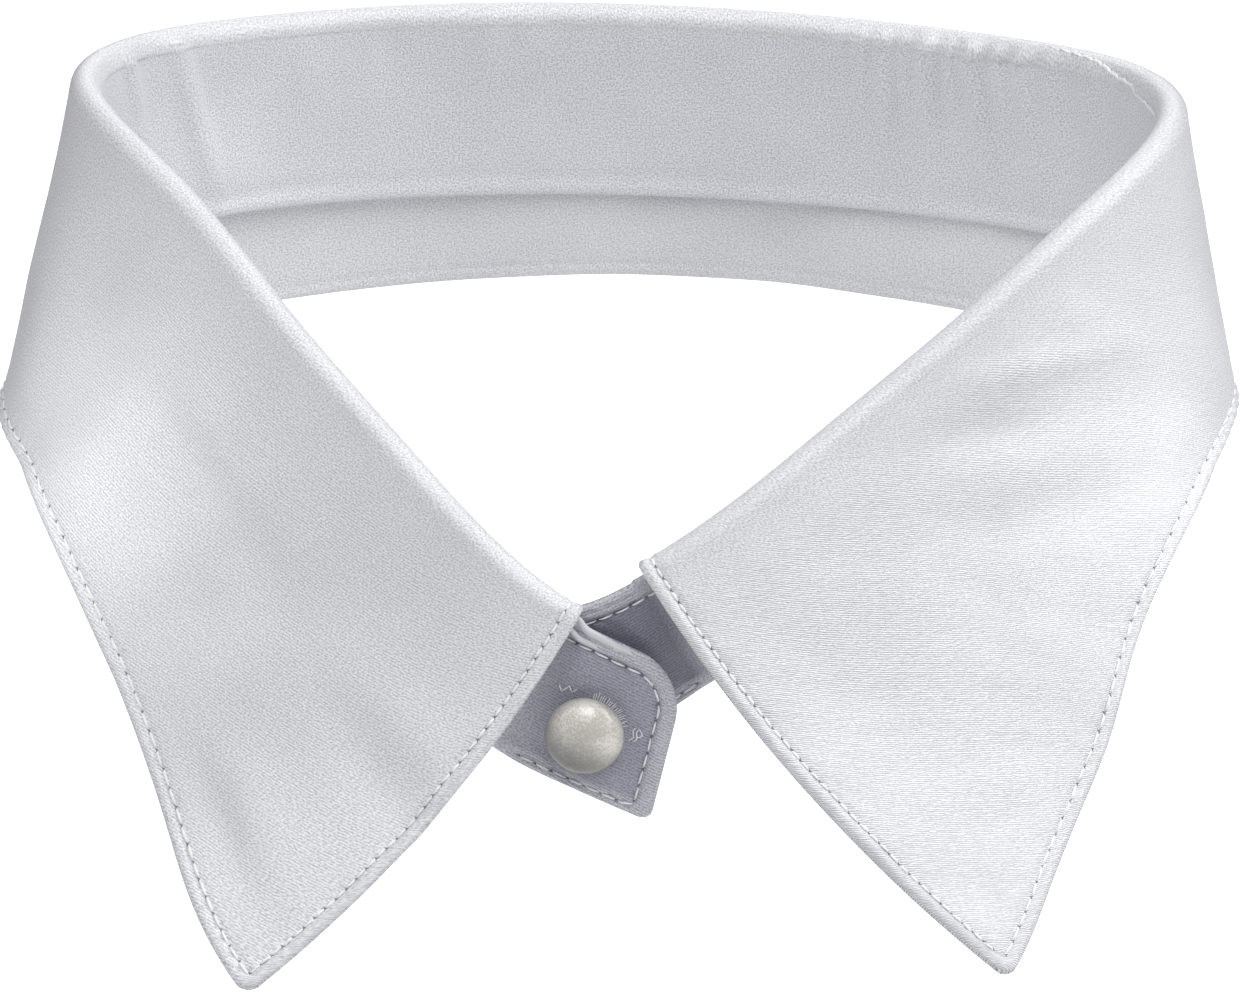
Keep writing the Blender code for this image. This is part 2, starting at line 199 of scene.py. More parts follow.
# Stitching: the stitches' pitch, the points on each, and how far from its edge a row lies.
HEM_PITCH = 2.75
FRONT_PITCH = 1.8
TAB_PITCH = 2.3
STITCH_STEPS = 12
LEAF_STITCH_INSET = 2.0
TAB_STITCH_INSET = 2.5
TAB_FOOT_INSET = 1.2
TAB_LINE_FOOT_RADIUS = 0.8

# Threads: their sides, how flat they lie, how high a stitch arches and how far it dips at its ends
# and sways. A needle hole's two levels and the waist between its arms.
THREAD_SIDES = 6
THREAD_FLATNESS = 0.8
STITCH_ARCH = 0.10
STITCH_DIP = 0.16
STITCH_SHIFT = 0.05
STITCH_TWIST = 0.10
HOLE_LEVELS = (0.07, -0.25)
HOLE_WAIST = 0.2

# The cloth beside a row of stitches: how high it puffs toward the edge, how deep and wide the row
# sinks and how much more at each stitch, and how high and far it puckers past the row.
PUFF = 0.30
GROOVE = 0.24
GROOVE_AT_STITCH = 0.18
GROOVE_WIDTH = 0.42
PUCKER = 0.15
PUCKER_REACH = 1.7

# Rolls and channels along an edge: height, distance from the edge and half width.
TAB_PIPING = ((0.12, 0.60, 0.32), (-0.16, 1.15, 0.20), (0.12, 1.65, 0.34))
FOOT_ROLL = ((0.30, 1.2, 0.9), (-0.16, 3.2, 1.1))

# The walls' grids: the first step at an edge, how wide the rim and the stitched band are, the step
# in the stitched band, and how the steps grow at the rim and past the band.
RIM_STEP = 0.10
RIM_WIDTH = 0.7
STITCHED_BAND = 5.5
STITCHED_STEP = 0.36
RIM_GROWTH = 1.5
INNER_GROWTH = 1.35
LEAF_ROW_STEP = 1.5
LEAF_COLUMN_STEP = 0.62
LEAF_END_BAND = 9.0
LEAF_END_BLEND = 34.0
MEAN_FALL = 44.0
ROLL_ROWS = (-1.0, -0.90, -0.52, -0.50, 0.0, 0.04, 0.09, 0.15, 0.24, 0.34, 0.45, 0.56, 0.67, 0.78, 0.89)
STAND_STEP = 0.8
STAND_RIM_STEP = 0.12
STAND_RIM_WIDTH = 0.6
TAB_BAND = 22.0
MEAN_STAND_HEIGHT = 24.0
# How far in an edge is round, how thin stitching may make half the wall, how far inside the stand's
# faces the leaf's lap ends, and a distance from the hem that is past every fade.
EDGE_ROUND = 0.75
LEAST_HALF = 0.03
LAP_INSET = 0.02
FAR_FROM_HEM = 60.0
# The leaf's ribs: their share at the left point, where on each half they start and how fast.
RIBS_AT_LEFT = 0.25
RIBS_START = 0.22
RIBS_FADE = 0.15


def smooth(value):
    value = np.clip(value, 0.0, 1.0)
    return value * value * (3.0 - 2.0 * value)


def bell(value, middle, width):
    return np.exp(-((value - middle) / width) ** 2)


def profile(table, distance):
    """The height over an edge's rolls and channels."""
    return sum(height * bell(distance, middle, width) for height, middle, width in table)


def natural_spline(places, values):
    """A smooth curve through one value at each place, read at many places at once."""
    places = np.asarray(places, float)
    values = np.asarray(values, float)
    count = len(places)
    gap = np.diff(places)
    system = np.eye(count)
    pull = np.zeros(count)
    for i in range(1, count - 1):
        system[i, i - 1:i + 2] = gap[i - 1], 2.0 * (gap[i - 1] + gap[i]), gap[i]
        pull[i] = 6.0 * ((values[i + 1] - values[i]) / gap[i] - (values[i] - values[i - 1]) / gap[i - 1])
    bend = np.linalg.solve(system, pull)

    def value(at):
        at = np.asarray(at, float)
        i = np.clip(np.searchsorted(places, at) - 1, 0, count - 2)
        ahead = places[i + 1] - at
        behind = at - places[i]
        width = gap[i]
        curved = (bend[i] * ahead ** 3 + bend[i + 1] * behind ** 3) / (6.0 * width)
        start = (values[i] / width - bend[i] * width / 6.0) * ahead
        end = (values[i + 1] / width - bend[i + 1] * width / 6.0) * behind
        return curved + start + end

    return value


# Each section's place along the neckline, from the over tab's end.
NECK_POINTS = np.array([row[:3] for row in NECK.values()])
STEPS = [float(np.linalg.norm(step)) for step in np.diff(NECK_POINTS, axis=0)]
PLACE = dict(zip(NECK, np.cumsum([0.0] + STEPS).tolist()))
TAB_END = PLACE["over_tab_end"]
LEFT_END = PLACE["left_leaf_end"]
RIGHT_END = PLACE["right_leaf_end"]
BAND_END = PLACE["under_tab_end"]


def column_curves(table, columns):
    places = [PLACE[name] for name in table]
    return {column: natural_spline(places, [row[index] for row in table.values()])
            for index, column in enumerate(columns)}


BAND = column_curves(NECK, NECK_COLUMNS)
FALLING = column_curves(LEAF, LEAF_COLUMNS)


def unit(vectors):
    return vectors / np.linalg.norm(vectors, axis=-1, keepdims=True)


def neckline(at):
    return np.stack([BAND[axis](at) for axis in "xyz"], -1)


def section(at):
    """The neckline's points, and unit vectors along it, down the neck and outward."""
    at = np.asarray(at, float)
    along = unit(neckline(np.minimum(at + 0.2, BAND_END)) - neckline(np.maximum(at - 0.2, 0.0)))
    down = unit(np.array([0.0, 0.0, -1.0]) + along[..., 2:3] * along)
    return neckline(at), along, down, np.cross(along, down)


def turned(down, out, degrees):
    angle = np.radians(degrees)[..., None]
    return np.cos(angle) * down + np.sin(angle) * out


def stand_surface(at, depth):
    """The stand's middle surface at places along the neckline and depths below its top."""
    top, along, down, out = section(at)
    slant = np.tan(np.radians(BAND["slant"](at)))[..., None]
    return top + depth[..., None] * (turned(down, out, BAND["lean"](at)) + slant * along)


def fold_lift(at, share):
    lift = np.zeros_like(at)
    for name, past, drift, width, height in FOLDS:
        middle = PLACE[name] + past + drift * share
        lift += height * bell(at, middle, width)
    return lift * smooth(share)


def leaf_surface(at, along_cloth):
    """The leaf's middle surface; along_cloth is 0 at the seam, 1 past the roll and 2 at the hem.

    Below 0 it runs straight down into the stand's top edge.
    """
    top, along, down, out = section(at)
    lean = BAND["lean"](at)
    wall = turned(down, out, lean)
    face = turned(down, out, lean + 90.0)
    flare = FALLING["flare"](at)
    roll = np.clip(along_cloth, 0.0, 1.0)
    turn = (np.radians(180.0 + lean - flare) * roll)[..., None]
    centre = top - wall * SEAM_GAP + face * ROLL_RADIUS
    start = centre - face * ROLL_RADIUS * np.cos(turn) - wall * ROLL_RADIUS * np.sin(turn)
    start = start + wall * ((SEAM_GAP + SEAM_LAP) * np.clip(-along_cloth, 0.0, 1.0))[..., None]
    share = np.clip(along_cloth - 1.0, 0.0, 1.0)
    spread = FALLING["spread"](at)
    skew = np.radians(FALLING["skew"](at) + FALLING["bow"](at) * (share - 1.0))[..., None]
    angle = flare + (spread - flare) * share / 2.0
    reach = (FALLING["fall"](at) * share)[..., None]
    heading = np.cos(skew) * turned(down, out, angle) + np.sin(skew) * along
    outward = turned(down, out, angle + 90.0)
    lift = fold_lift(at, share) - FALLING["hollow"](at) * np.sin(math.pi * share ** 0.75)
    return start + reach * heading + lift[..., None] * outward


def crease_lift(table, at, share):
    """Soft ridges and troughs, each a row of the table."""
    lift = np.zeros_like(at)
    for name, rows in table.items():
        for past, middle_share, length, turn, width, height in rows:
            middle = PLACE[name] + past + turn * (share - middle_share)
            lift += height * bell(at, middle, width) * bell(share, middle_share, length * CREASE_TAPER)
    return lift


def even_noise(at, across, pitch, seed):
    """Smooth uneven values over the cloth, from sines whose phases are fixed."""
    state = np.random.RandomState(seed)
    total = np.zeros_like(at)
    waves = 9
    for _ in range(waves):
        heading = state.uniform(0.0, 2.0 * math.pi)
        wave = pitch * state.uniform(0.7, 1.7)
        phase = state.uniform(0.0, 2.0 * math.pi)
        reach = at * math.cos(heading) + across * math.sin(heading)
        total += np.sin(reach * 2.0 * math.pi / wave + phase)
    return total / math.sqrt(waves)


def band_lift(at, depth):
    """How far the band's cloth puckers toward the neck; depths below 0 are on the roll above it."""
    lift = crease_lift(STAND_CREASES, at, depth / BAND["height"](at))
    for height, pitch, seed in STAND_UNEVEN:
        lift += height * even_noise(at, depth, pitch, seed)
    return lift


def corner_drop(radius, from_end):
    """How far a rounded corner draws its edge in, by the distance from the corner's side."""
    inset = np.clip(radius - from_end, 0.0, radius)
    return radius - np.sqrt(radius ** 2 - inset ** 2)


def corner_distance(radius, from_side, from_edge):
    """How far inside a rounded corner's arc a point lies."""
    return radius - np.hypot(radius - from_side, radius - from_edge)


def edge_profile(distance):
    """Half the wall's thickness near an edge, which is round."""
    reach = np.clip(distance / EDGE_ROUND, 0.0, 1.0)
    return WALL / 2.0 * np.sqrt(np.clip(1.0 - (1.0 - reach) ** 2, 0.0, 1.0))


def stitched(distance, inset, along_line, pitch, strength):
    """How the cloth puffs at its turned edge, sinks along a row of stitches and puckers there."""
    turn = 2.0 * math.pi / pitch
    beat = 0.5 + 0.5 * np.cos(turn * along_line)
    puff = PUFF * bell(distance, inset * 0.50, inset * 0.34)
    puff = puff * (1.0 + 0.42 * np.sin(turn * (along_line + 0.9 * distance)))
    groove = -(GROOVE + GROOVE_AT_STITCH * beat) * bell(distance, inset, GROOVE_WIDTH)
    past = np.clip(distance - inset, 0.0, None)
    pull = bell(past, 0.0, PUCKER_REACH) * smooth((distance - inset * 0.6) / 0.8)
    pucker = PUCKER * pull * np.sin(turn * (along_line - 0.35 * (distance - inset)) + 0.6)
    return strength * (puff + groove + pucker)


def graded(end, coarse):
    """Distances from an edge, close together at it and wider farther in."""
    places = [0.0]
    step = RIM_STEP
    while places[-1] < end:
        places.append(places[-1] + step)
        if places[-1] > STITCHED_BAND:
            step = min(step * INNER_GROWTH, coarse)
        elif places[-1] > RIM_WIDTH:
            step = STITCHED_STEP
        else:
            step = step * RIM_GROWTH
    return places


def sheet_rows(length, coarse):
    """Distances across the cloth that are close together at both edges."""
    half = graded(length / 2.0, coarse)
    half = [value * (length / 2.0) / half[-1] for value in half]
    return np.array(half + [length - value for value in reversed(half[:-1])])


def grid_normals(points):
    across = np.gradient(points, axis=1)
    along = np.gradient(points, axis=0)
    return unit(np.cross(along, across))


def grid_quads(index):
    """The four corners of each face of a grid of point numbers."""
    corners = (index[:-1, :-1], index[:-1, 1:], index[1:, 1:], index[1:, :-1])
    return np.stack([corner.ravel() for corner in corners], 1)


def add_piece(name, mesh, material):
    mesh.materials.append(material)
    piece = bpy.data.objects.new(name, mesh)
    scene.collection.objects.link(piece)
    return piece


def mesh_from_points(name, points, faces):
    mesh = bpy.data.meshes.new(name)
    mesh.from_pydata([tuple(value * MM for value in point) for point in points], [], faces)
    return mesh


def wall_mesh(name, material, middle, outer, inner, layers, notch=0.0):
    """A closed wall from a grid of middle points and the two faces' offsets from it.

    Each layer is a grid of coordinates on the cloth, in millimetres, that its material reads.
    """
    normals = grid_normals(middle)
    columns, rows = middle.shape[:2]
    front = middle + normals * outer[..., None]
    back = middle - normals * inner[..., None]
    inside = np.zeros((columns, rows), bool)
    inside[1:-1, 1:-1] = True
    shared = (front + back) / 2.0
    if notch:
        # The edge's two turned-in layers meet in a fine line, so the rim is drawn in a little.
        shared[:, -1] += (middle[:, -4] - middle[:, -1]) * notch
        shared[0, :] += (middle[3, :] - middle[0, :]) * notch
        shared[-1, :] += (middle[-4, :] - middle[-1, :]) * notch
    front[~inside] = shared[~inside]
    front_index = np.arange(columns * rows).reshape(columns, rows)
    back_index = front_index.copy()
    back_index[inside] = columns * rows + np.arange(int(inside.sum()))
    points = np.concatenate([front.reshape(-1, 3), back[inside]])
    faces = np.concatenate([grid_quads(front_index)[:, [0, 3, 2, 1]], grid_quads(back_index)])
    mesh = mesh_from_points(name, points, faces.tolist())
    mesh.shade_smooth()
    for layer_name, grid in layers.items():
        layer = mesh.uv_layers.new(name=layer_name)
        flat = np.concatenate([grid.reshape(-1, 2), grid[inside]])
        layer.data.foreach_set("uv", flat[faces.ravel()].ravel())
    return add_piece(name, mesh, material), normals


# The leaf

def leaf_edge_measure(end, sign, rows):
    """Millimetres across the front edge for each millimetre along the neckline, down the edge."""
    at = np.full_like(rows, end)
    here = leaf_surface(at, rows)
    aside = leaf_surface(at + sign * 0.5, rows)
    along_edge = unit(np.gradient(here, axis=0))
    step = (aside - here) / 0.5
    step = step - (step * along_edge).sum(-1, keepdims=True) * along_edge
    return np.linalg.norm(step, axis=-1)


def make_leaf(material):
    length = RIGHT_END - LEFT_END
    roll_length = math.pi * ROLL_RADIUS
    from_foot = np.array(graded(MEAN_FALL, LEAF_ROW_STEP) + [MEAN_FALL])
    fall_rows = np.unique(np.round(np.clip(1.0 - from_foot / MEAN_FALL, 0.0, 1.0), 6))
    rows = np.concatenate([ROLL_ROWS, 1.0 + fall_rows])
    ends = np.array(graded(LEAF_END_BAND, LEAF_COLUMN_STEP))
    ends = ends[ends < LEAF_END_BAND]
    count = int(round((length - 2.0 * LEAF_END_BAND) / LEAF_COLUMN_STEP))
    middle = np.linspace(LEAF_END_BAND, length - LEAF_END_BAND, count + 1)
    stations = np.concatenate([ends, middle, length - ends[::-1]])
    at, across = np.meshgrid(stations, rows, indexing="ij")
    # Near each front edge the columns keep their distance from it all the way down.
    place = at
    for end, sign, inward in ((LEFT_END, 1.0, at), (RIGHT_END, -1.0, length - at)):
        near = 1.0 - smooth((inward - LEAF_END_BAND) / LEAF_END_BLEND)
        measure = leaf_edge_measure(end, sign, rows)[None, :]
        place = place + sign * inward * (1.0 / measure - 1.0) * near
    place = LEFT_END + np.clip(place, 0.0, length)
    from_end = np.minimum(at, length - at)
    # The tip is rounded by drawing up the hem.
    cut = corner_drop(LEAF_TIP_RADIUS, from_end)
    fall = FALLING["fall"](place)
    share = np.clip(across - 1.0, 0.0, 1.0)
    drawn = np.where(across > 1.0, 1.0 + share * (fall - cut) / fall, across)
    points = leaf_surface(place, drawn)
    fallen = np.clip(drawn - 1.0, 0.0, 1.0)
    from_hem = np.where(across > 1.0, (fall - cut) * (1.0 - share), FAR_FROM_HEM)
    below = np.clip(across, -1.0, 0.0) * (SEAM_GAP + SEAM_LAP)
    from_seam = below + np.clip(across, 0.0, 1.0) * roll_length + share * fall
    edge = np.minimum(from_end, from_hem)
    # Near a tip the nearest edge is its rounded corner.
    corner = (from_end < LEAF_TIP_RADIUS) & (from_hem < LEAF_TIP_RADIUS)
    rounded = corner_distance(LEAF_TIP_RADIUS, from_end, from_hem) + cut
    edge = np.where(corner, np.clip(np.minimum(edge, rounded), 0.0, None), edge)
    line = np.where(from_end < from_hem, from_seam, at)
    lift = crease_lift(LEAF_CREASES, place, fallen) * smooth(share * 4.0)
    for height, pitch, seed in LEAF_UNEVEN:
        lift += height * even_noise(place, fallen * fall, pitch, seed) * smooth(share * 3.0)
    lift += band_lift(place, -SEAM_GAP - from_seam) * (1.0 - smooth(across / 0.42))
    fade = smooth(edge / 1.2)
    normals = grid_normals(points)
    points = points + normals * (lift * fade)[..., None]
    half = edge_profile(edge)
    # Below the seam the leaf lies inside the stand's wall.
    half = np.where(across < -0.51, np.minimum(half, WALL / 2.0 - LAP_INSET), half)
    pitch = np.where(from_end < from_hem, FRONT_PITCH, HEM_PITCH)
    sewn = stitched(edge, LEAF_STITCH_INSET, line, pitch, 1.0) * smooth((from_seam - 0.6) / 2.0)
    sewn = sewn * smooth(edge / 0.5)
    outer = half + np.maximum(sewn, LEAST_HALF - half)
    inner = half + np.maximum(0.6 * sewn, LEAST_HALF - half)
    # The twill's lines turn along the collar, so their coordinate is skewed by a growing slope.
    run = (place - LEFT_END) / length
    drift = LEFT_TWILL_SLOPE * run + (RIGHT_TWILL_SLOPE - LEFT_TWILL_SLOPE) * run ** 2 / 2.0
    # The ribs show on the fall at the front, most at the right, and fade toward the roll and the back.
    ribs = (RIBS_AT_LEFT + (1.0 - RIBS_AT_LEFT) * run) * smooth((from_seam - roll_length - 1.0) / 8.0)
    ribs = ribs * smooth((np.abs(run - 0.5) - RIBS_START) / RIBS_FADE)
    layers = {
        "cloth": np.stack([place, from_seam - drift * length], -1),
        "edges": np.stack([edge, ribs], -1),
    }
    piece, normals = wall_mesh("leaf_cloth_shell", material, points, outer, inner, layers, notch=0.5)
    fallen_length = from_hem[:, np.searchsorted(rows, 1.001)]
    return piece, (stations, rows, points + normals * outer[..., None], normals, fallen_length)


# The stand

def make_stand(material):
    length = BAND_END - TAB_END
    ends = [0.0]
    while ends[-1] < TAB_BAND:
        ends.append(ends[-1] + (STAND_RIM_STEP if ends[-1] < STAND_RIM_WIDTH else STITCHED_STEP))
    ends = np.array(ends)
    count = int(round((length - 2.0 * ends[-1]) / STAND_STEP))
    middle = np.linspace(ends[-1], length - ends[-1], count + 1)
    stations = TAB_END + np.concatenate([ends[:-1], middle, (length - ends[:-1])[::-1]])
    rows = sheet_rows(MEAN_STAND_HEIGHT, STAND_STEP) / MEAN_STAND_HEIGHT
    rows = np.insert(rows, 2, rows[1] * 1.2)
    at, share = np.meshgrid(stations, rows, indexing="ij")
    from_end = np.minimum(at - TAB_END, BAND_END - at)
    height = BAND["height"](at)
    high = corner_drop(TAB_TOP_RADIUS, from_end)
    low = height - corner_drop(TAB_FOOT_RADIUS, from_end)
    depth = high + (low - high) * share
    points = stand_surface(at, depth)
    edge = tab_distance(from_end, depth, height)
    on_tab = np.maximum(1.0 - smooth((at - LEFT_END + 0.5) / 2.0), smooth((at - RIGHT_END - 0.5) / 2.0))
    # Between the tabs the top edge is sewn into the leaf, so only its foot is rounded there.
    from_free_edge = np.where(on_tab > 0.5, edge, height - depth)
    half = edge_profile(from_free_edge)
    normals = grid_normals(points)
    points = points - normals * (band_lift(at, depth) * smooth(from_free_edge / 1.5))[..., None]
    # The row of stitches lies nearer to a tab's foot than to its top and end.
    from_line = tab_distance(from_end, depth, height + TAB_STITCH_INSET - TAB_FOOT_INSET)
    sewn = stitched(from_line, TAB_STITCH_INSET, at + depth, TAB_PITCH, 0.8)
    at_top = smooth((height * 0.5 - depth) / 4.0) * smooth((from_end - 3.5) / 4.0)
    sewn = (sewn + profile(TAB_PIPING, depth) * at_top) * on_tab
    # Behind the leaf the stand's foot is a rolled edge with a shallow channel above it.
    rolled = profile(FOOT_ROLL, height - depth) * (1.0 - on_tab)
    fade = smooth(from_free_edge / 0.5)
    outer = half + np.maximum((sewn + 0.4 * rolled) * fade, LEAST_HALF - half)
    inner = half + np.maximum((sewn + rolled) * fade, LEAST_HALF - half)
    layers = {"cloth": np.stack([at, depth], -1), "edges": np.stack([edge, on_tab], -1)}
    return wall_mesh("stand_cloth_shell", material, points, outer, inner, layers)[0]


def tab_distance(from_end, depth, height):
    """Distance from the stand's outline, whose corners are rounded at the tabs' ends."""
    edge = np.minimum(np.minimum(from_end, depth), height - depth)
    for radius, from_edge in ((TAB_TOP_RADIUS, depth), (TAB_FOOT_RADIUS, height - depth)):
        corner = (from_end < radius) & (from_edge < radius)
        edge = np.where(corner, corner_distance(radius, from_end, from_edge), edge)
    return np.clip(edge, 0.0, None)


# Threads

def thread_object(name, runs, material):
    """Short rounded lengths of thread, each lying on a line of points with its outward directions."""
    points = []
    faces = []
    turn = 2.0 * math.pi * np.arange(THREAD_SIDES)[:, None] / THREAD_SIDES
    ring = np.arange(THREAD_SIDES + 1) % THREAD_SIDES
    for path, outward, radius in runs:
        count = len(path)
        index = len(points) + THREAD_SIDES * np.arange(count)[:, None] + ring
        heading = unit(np.gradient(path, axis=0))
        sideways = unit(np.cross(heading, outward))
        upward = np.cross(sideways, heading)
        for i in range(count):
            swell = math.sin(math.pi * (i + 0.6) / (count + 0.2)) ** 0.45
            offset = np.cos(turn) * sideways[i] + np.sin(turn) * THREAD_FLATNESS * upward[i]
            points.extend(path[i] + offset * radius * swell)
        faces += grid_quads(index)[:, [0, 3, 2, 1]].tolist()
        faces += [index[0, :-1].tolist(), index[-1, -2::-1].tolist()]
    mesh = mesh_from_points(name, points, faces)
    mesh.shade_smooth()
    return add_piece(name, mesh, material)


def resampled(path, outward, pitch):
    """A line of points and its directions, read at an even pitch along its length."""
    steps = np.linalg.norm(np.diff(path, axis=0), axis=1)
    run = np.concatenate([[0.0], np.cumsum(steps)])
    wanted = np.arange(0.0, run[-1], pitch)
    new_path, new_out = [np.stack([np.interp(wanted, run, axis) for axis in grid.T], 1)
                         for grid in (path, outward)]
    return new_path, unit(new_out)


def stitch_runs(path, outward, seed, pitch, lift, radius):
    """Stitches along a line, each dipping into the cloth at its ends, and the needle holes between."""
    path, outward = resampled(path, outward, pitch / STITCH_STEPS)
    state = np.random.RandomState(seed)
    runs = []
    marks = []
    for start in range(0, len(path) - STITCH_STEPS, STITCH_STEPS):
        used = slice(start, start + STITCH_STEPS - 1)
        bit = path[used].copy()
        out = outward[used]
        share = np.linspace(0.0, 1.0, len(bit))
        rise = lift + STITCH_ARCH * np.sin(math.pi * share) ** 0.6
        rise = rise - STITCH_DIP * (np.abs(share - 0.5) * 2.0) ** 6
        side = np.cross(unit(np.gradient(bit, axis=0)), out)
        sway = state.uniform(-STITCH_SHIFT, STITCH_SHIFT)
        sway = sway + state.uniform(-STITCH_TWIST, STITCH_TWIST) * (share - 0.5)
        bit += out * rise[:, None] + side * sway[:, None]
        runs.append((bit, out, radius * state.uniform(0.9, 1.1)))
        gap = start + STITCH_STEPS - 1
        heading = unit(path[gap] - path[gap - 1])
        side = np.cross(heading, outward[gap])
        marks.append((path[gap], heading, side, outward[gap], state.uniform(0.8, 1.2)))
    return runs, marks


def needle_holes(name, marks, hole_size, material):
    """Small dark shapes at the needle holes, painted shadow of the holes: three short arms, closed and very
    thin.
    """
    points = []
    faces = []
    for place, heading, side, outward, size in marks:
        base = len(points)
        for level in HOLE_LEVELS:
            for step in range(6):
                angle = math.pi * step / 3.0 + math.pi / 2.0
                reach = size * hole_size * (1.0 if step % 2 == 0 else HOLE_WAIST)
                offset = math.cos(angle) * reach * heading + math.sin(angle) * reach * side
                points.append(place + offset + outward * level)
        faces.append(tuple(base + step for step in range(6)))
        faces.append(tuple(base + 6 + step for step in reversed(range(6))))
        for step in range(6):
            after = (step + 1) % 6
            faces.append((base + after, base + step, base + 6 + step, base + 6 + after))
    mesh = mesh_from_points(name, points, faces)
    turned_out = bmesh.new()
    turned_out.from_mesh(mesh)
    bmesh.ops.recalc_face_normals(turned_out, faces=turned_out.faces)
    turned_out.to_mesh(mesh)
    turned_out.free()
    return add_piece(name, mesh, material)


def leaf_thread_lines(stations, rows, surface, normals, fall):
    """The lines of topstitching down the leaf's front edges and along its hem, on its outer face."""
    inset = LEAF_STITCH_INSET
    far = stations[-1] - inset

    def on_face(columns, row_values):
        """Points on the face and their outward directions, between the grid's lines."""
        i = np.interp(columns, stations, np.arange(len(stations)))
        j = np.interp(row_values, rows, np.arange(len(rows)))
        i0 = np.minimum(i.astype(int), len(stations) - 2)
        j0 = np.minimum(j.astype(int), len(rows) - 2)
        f = (j - j0)[:, None]
        g = (i - i0)[:, None]

        def mix(grid):
            low = grid[i0, j0] * (1 - f) + grid[i0, j0 + 1] * f
            high = grid[i0 + 1, j0] * (1 - f) + grid[i0 + 1, j0 + 1] * f
            return low * (1 - g) + high * g

        return mix(surface), mix(normals)

    def hem_row(columns):
        return 2.0 - inset / np.maximum(np.interp(columns, stations, fall), 1.0)

    def front_edge(column, count=120, first_row=0.55):
        return on_face(np.full(count, column), np.linspace(first_row, hem_row(column), count))

    along_hem = np.linspace(inset, far, 700)
    return (
        (front_edge(inset), FRONT_PITCH),
        (on_face(along_hem, hem_row(along_hem)), HEM_PITCH),
        (front_edge(far), FRONT_PITCH),
    )


def stand_face(at, depth, face):
    """A point on the stand's outer (1) or inner (-1) face with its outward direction."""
    step = 0.2
    here = stand_surface(at, depth)
    ahead = stand_surface(np.minimum(at + step, BAND_END), depth)
    behind = stand_surface(np.maximum(at - step, TAB_END), depth)
    lower = stand_surface(at, depth + step)
    normal = unit(np.cross(ahead - behind, lower - here)) * face
    return here + normal * WALL / 2.0, normal


def tab_line(end, inset):
    """The line round a tab, inset from its top, end and foot; it starts at the leaf's end."""
    inward = 1.0 if end == TAB_END else -1.0
    start = abs((LEFT_END if inward > 0 else RIGHT_END) - end) + 1.0
    foot = float(BAND["height"](np.array(end))) - TAB_FOOT_INSET
    radius = TAB_TOP_RADIUS - inset
    top_turn = np.linspace(0.0, math.pi / 2.0, 20)[1:]
    foot_turn = np.linspace(0.0, math.pi / 2.0, 8)[1:]
    along_foot = np.linspace(inset + TAB_LINE_FOOT_RADIUS, start, 30)[1:]
    # Each stretch of the line, as distances from the tab's end and depths below the band's top.
    stretches = (
        (np.linspace(start, TAB_TOP_RADIUS, 30), inset),
        (TAB_TOP_RADIUS - radius * np.sin(top_turn), TAB_TOP_RADIUS - radius * np.cos(top_turn)),
        (inset, np.linspace(TAB_TOP_RADIUS, foot - TAB_LINE_FOOT_RADIUS, 24)[1:]),
        (inset + TAB_LINE_FOOT_RADIUS * (1.0 - np.cos(foot_turn)),
         foot - TAB_LINE_FOOT_RADIUS * (1.0 - np.sin(foot_turn))),
        (along_foot, BAND["height"](end + inward * along_foot) - TAB_FOOT_INSET),
    )
    places = np.concatenate([np.stack(np.broadcast_arrays(*stretch), 1) for stretch in stretches])
    return end + inward * places[:, 0], places[:, 1]


# Materials

def new_material(name):
    material = bpy.data.materials.new(name)
    material.use_nodes = True
    tree = material.node_tree
    return material, tree, tree.nodes["Principled BSDF"]


def set_inputs(node, **values):
    """Sets a node's inputs; an underscore stands for the space in an input's name."""
    for name, value in values.items():
        node.inputs[name.replace("_", " ")].default_value = value


def ranged(tree, value, source, result, kind="LINEAR"):
    """A value mapped from one range to another."""
    ramp = tree.nodes.new("ShaderNodeMapRange")
    ramp.interpolation_type = kind
    set_inputs(ramp, From_Min=source[0], From_Max=source[1], To_Min=result[0], To_Max=result[1])
    tree.links.new(value, ramp.inputs["Value"])
    return ramp.outputs["Result"]


def product(tree, first, second):
    node = tree.nodes.new("ShaderNodeMath")
    node.operation = "MULTIPLY"
    tree.links.new(first, node.inputs[0])
    tree.links.new(second, node.inputs[1])
    return node.outputs["Value"]


def mixed(tree, kind, factor, first, second, blend="MIX"):
    """A mix of two numbers or colours; each of the three may be another node's output or a constant."""
    mix = tree.nodes.new("ShaderNodeMix")
    mix.data_type = kind
    mix.blend_type = blend
    for name, value in (("Factor", factor), ("A", first), ("B", second)):
        if isinstance(value, bpy.types.NodeSocket):
            tree.links.new(value, mix.inputs[name])
        else:
            mix.inputs[name].default_value = value
    return mix.outputs["Result"]


def noise(tree, vector, scale, detail=2.0, roughness=0.5):
    texture = tree.nodes.new("ShaderNodeTexNoise")
    set_inputs(texture, Scale=scale, Detail=detail, Roughness=roughness)
    tree.links.new(vector, texture.inputs["Vector"])
    return texture.outputs["Fac"]


def two_tones(tree, value, low, high, places):
    """A colour between two, by where a value lies between two places."""
    ramp = tree.nodes.new("ShaderNodeValToRGB")
    for element, colour, place in zip(ramp.color_ramp.elements, (low, high), places):
        element.position = place
        element.color = colour
    tree.links.new(value, ramp.inputs["Fac"])
    return ramp.outputs["Color"]


def own_place(tree):
    """The coordinates on the object itself, in metres."""
    return tree.nodes.new("ShaderNodeTexCoord").outputs["Object"]


def parts_of(tree, vector):
    parts = tree.nodes.new("ShaderNodeSeparateXYZ")
    tree.links.new(vector, parts.inputs["Vector"])
    return parts.outputs["X"], parts.outputs["Y"], parts.outputs["Z"]


